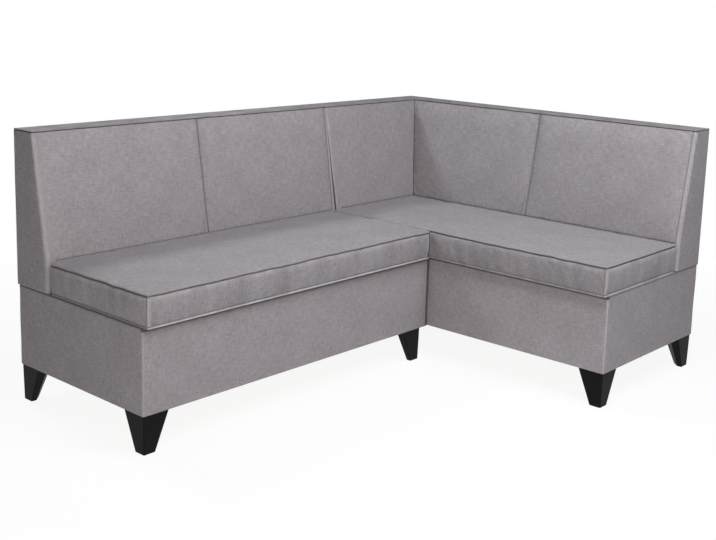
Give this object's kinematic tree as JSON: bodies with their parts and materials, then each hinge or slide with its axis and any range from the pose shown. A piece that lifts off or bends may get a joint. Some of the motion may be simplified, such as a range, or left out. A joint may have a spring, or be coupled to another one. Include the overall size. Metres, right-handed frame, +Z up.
{
  "type": "corner storage bench",
  "caption": "L-shaped upholstered corner bench with leaning padded backs, hinged seat lids over storage chests and short tapered black legs",
  "frame": {"origin": "on the floor, at the middle of the footprint's bounding box", "axes": "+X runs along the straight arm towards the corner, +Y towards the rear of the straight arm's back, +Z up; the corner arm runs from the corner towards -Y"},
  "size_m": [1.95, 1.385, 0.886],
  "materials": {
    "cloth": "matte",
    "seat_cloth": "matte",
    "black_wood": "satin",
    "plywood": "matte",
    "beech": "matte",
    "dark_steel": "satin"
  },
  "bodies": {
    "bench": {"corner_back_cover": "cloth", "corner_back_pad_left": "cloth", "corner_back_pad_right": "cloth", "corner_back_panel": "plywood", "corner_back_rib_left": "plywood", "corner_back_rib_right": "plywood", "corner_back_slope": "plywood", "corner_chest_cover": "cloth", "corner_chest_floor": "plywood", "corner_chest_front": "plywood", "corner_chest_left": "plywood", "corner_chest_rear": "plywood", "corner_chest_right": "plywood", "corner_hinge_leaf_1": "dark_steel", "corner_hinge_leaf_2": "dark_steel", "corner_hinge_pin_1": "dark_steel", "corner_hinge_pin_2": "dark_steel", "corner_hinge_rail": "beech", "corner_leg_front_left": "black_wood", "corner_leg_front_right": "black_wood", "corner_leg_rear_left": "black_wood", "corner_leg_rear_right": "black_wood", "corner_return_cover": "cloth", "corner_return_pad": "cloth", "corner_return_panel": "plywood", "corner_return_rail": "beech", "corner_return_rib": "plywood", "corner_return_slope": "plywood", "joining_bolt_front": "dark_steel", "joining_bolt_rear": "dark_steel", "straight_back_cover": "cloth", "straight_back_pad_left": "cloth", "straight_back_pad_right": "cloth", "straight_back_panel": "plywood", "straight_back_rib_left": "plywood", "straight_back_rib_right": "plywood", "straight_back_slope": "plywood", "straight_chest_cover": "cloth", "straight_chest_floor": "plywood", "straight_chest_front": "plywood", "straight_chest_left": "plywood", "straight_chest_rear": "plywood", "straight_chest_right": "plywood", "straight_hinge_leaf_1": "dark_steel", "straight_hinge_leaf_2": "dark_steel", "straight_hinge_pin_1": "dark_steel", "straight_hinge_pin_2": "dark_steel", "straight_hinge_rail": "beech", "straight_leg_front_left": "black_wood", "straight_leg_front_right": "black_wood", "straight_leg_rear_left": "black_wood", "straight_leg_rear_right": "black_wood"},
    "straight_seat": {"straight_seat_cushion": "seat_cloth", "straight_seat_board": "plywood", "straight_hinge_strap_1": "dark_steel", "straight_hinge_strap_2": "dark_steel"},
    "corner_seat": {"corner_seat_cushion": "seat_cloth", "corner_seat_board": "plywood", "corner_hinge_strap_1": "dark_steel", "corner_hinge_strap_2": "dark_steel"}
  },
  "joints": [
    {"name": "straight_seat_hinge", "type": "hinge", "parent": "bench", "child": "straight_seat", "pos_m": [-0.335, 0.5155, 0.48], "axis": [-1, 0, 0], "range_deg": [0, 90]},
    {"name": "corner_seat_hinge", "type": "hinge", "parent": "bench", "child": "corner_seat", "pos_m": [0.798, -0.08, 0.48], "axis": [0, 1, 0], "range_deg": [0, 90]}
  ]
}
